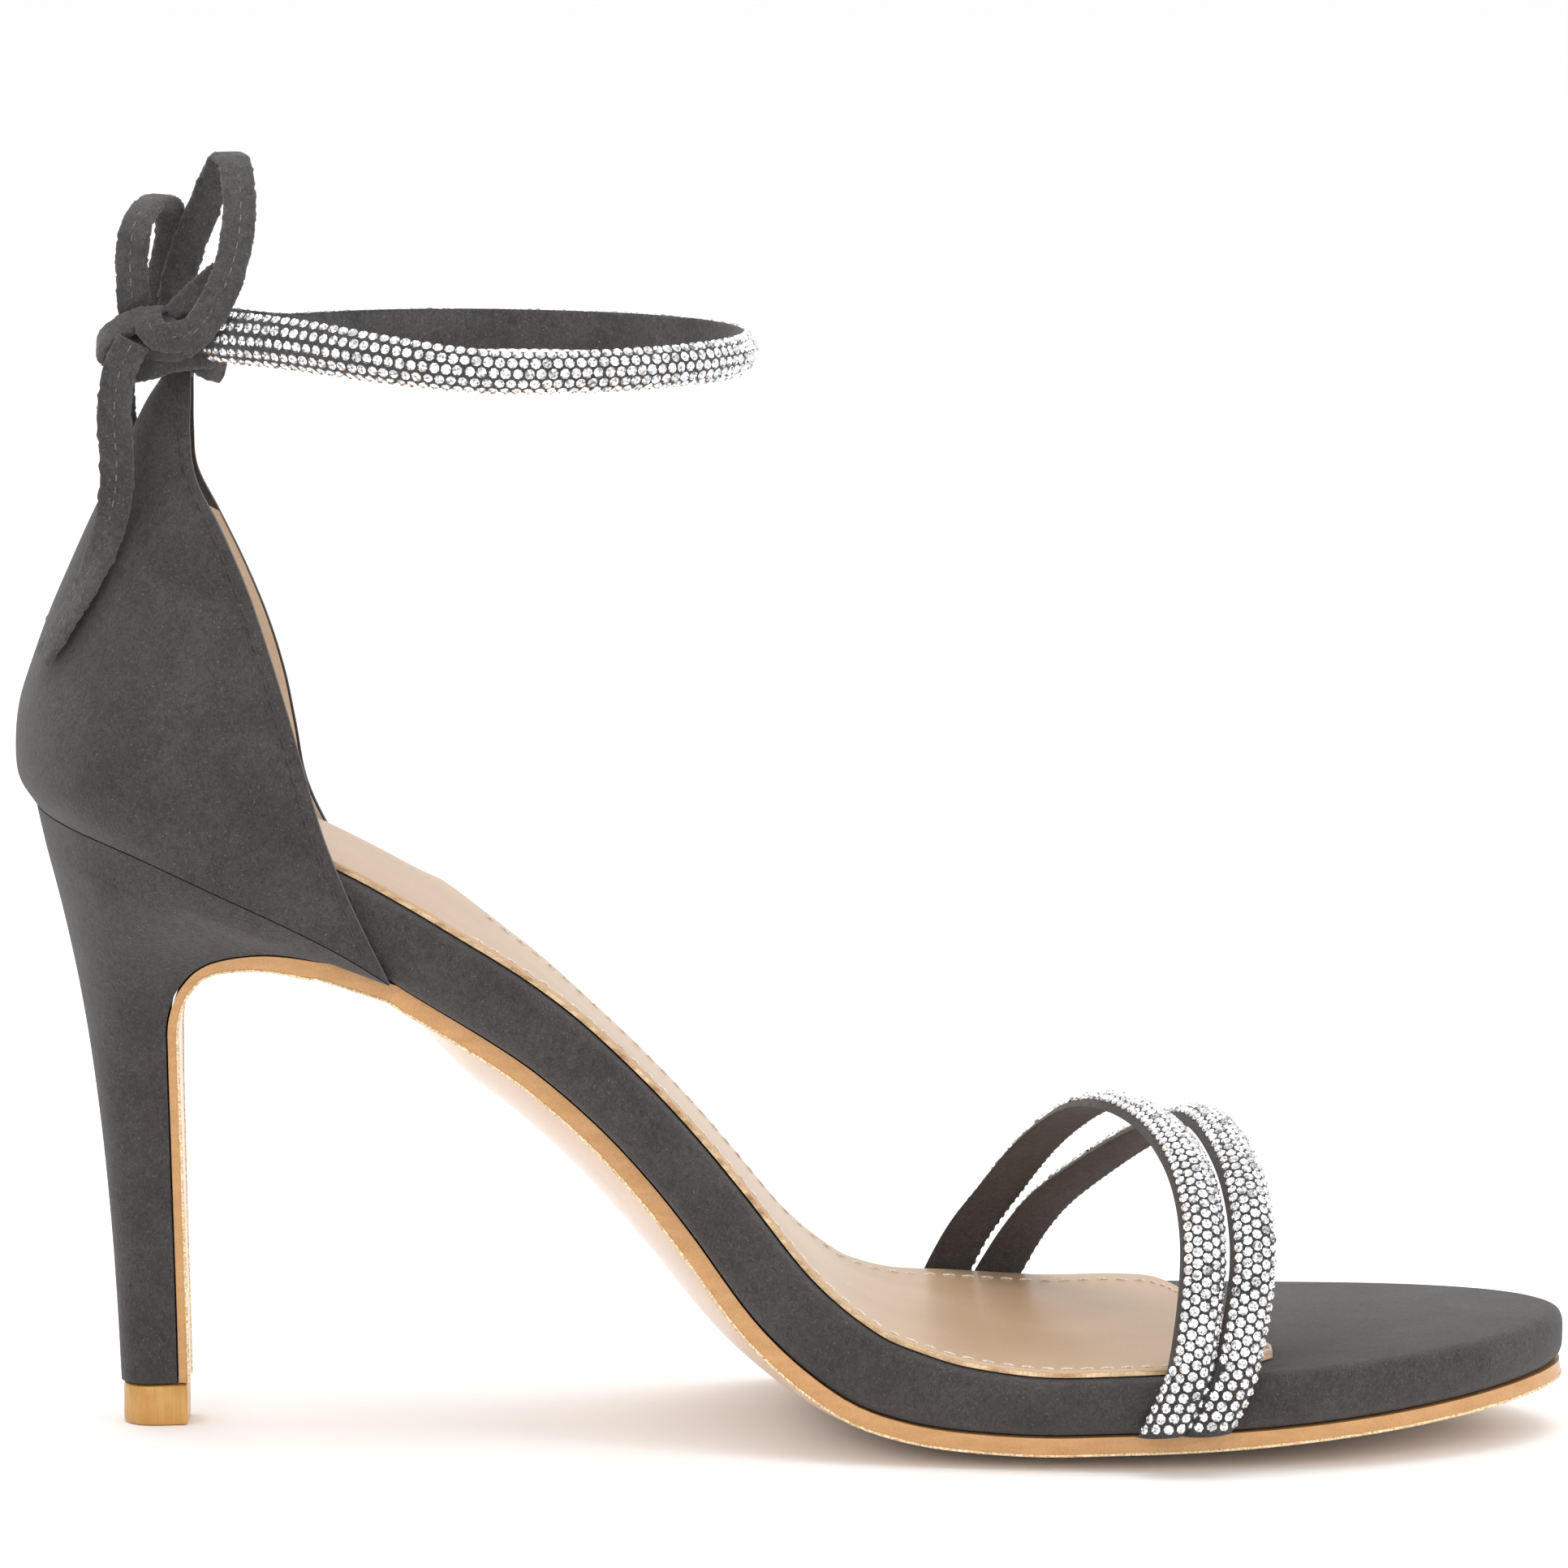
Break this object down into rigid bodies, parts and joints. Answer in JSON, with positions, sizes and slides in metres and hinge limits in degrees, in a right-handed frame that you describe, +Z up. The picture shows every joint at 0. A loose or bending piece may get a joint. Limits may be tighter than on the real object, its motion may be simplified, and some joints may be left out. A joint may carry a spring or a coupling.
{
  "type": "ankle tie stiletto sandal",
  "caption": "Left high-heeled sandal with a slim heel, an arched sole, stoned straps over the toes and round the ankle, a raised heel counter and a tied bow at the back.",
  "frame": {"origin": "on the floor, under the middle of the heel tip", "axes": "+X to the toe, +Y to the outer side of the foot, +Z up"},
  "size_m": [0.2269, 0.0847, 0.1881],
  "materials": {
    "suede": "matt napped suede",
    "sock_leather": "smooth with a soft gloss",
    "sole_leather": "smooth, waxed",
    "tip_plastic": "amber, satin",
    "stones": "faceted clear stones on suede"
  },
  "bodies": {
    "root": {"outsole": "sole_leather", "footbed": "suede", "insole": "sock_leather", "heel": "suede", "heel_tip": "tip_plastic", "counter": "suede", "toe_straps": "stones", "ankle_strap": "stones", "tie_knot": "suede", "tie_loop_small": "suede", "tie_loop_large": "suede", "tie_end_near": "suede", "tie_end_far": "suede"}
  },
  "joints": []
}
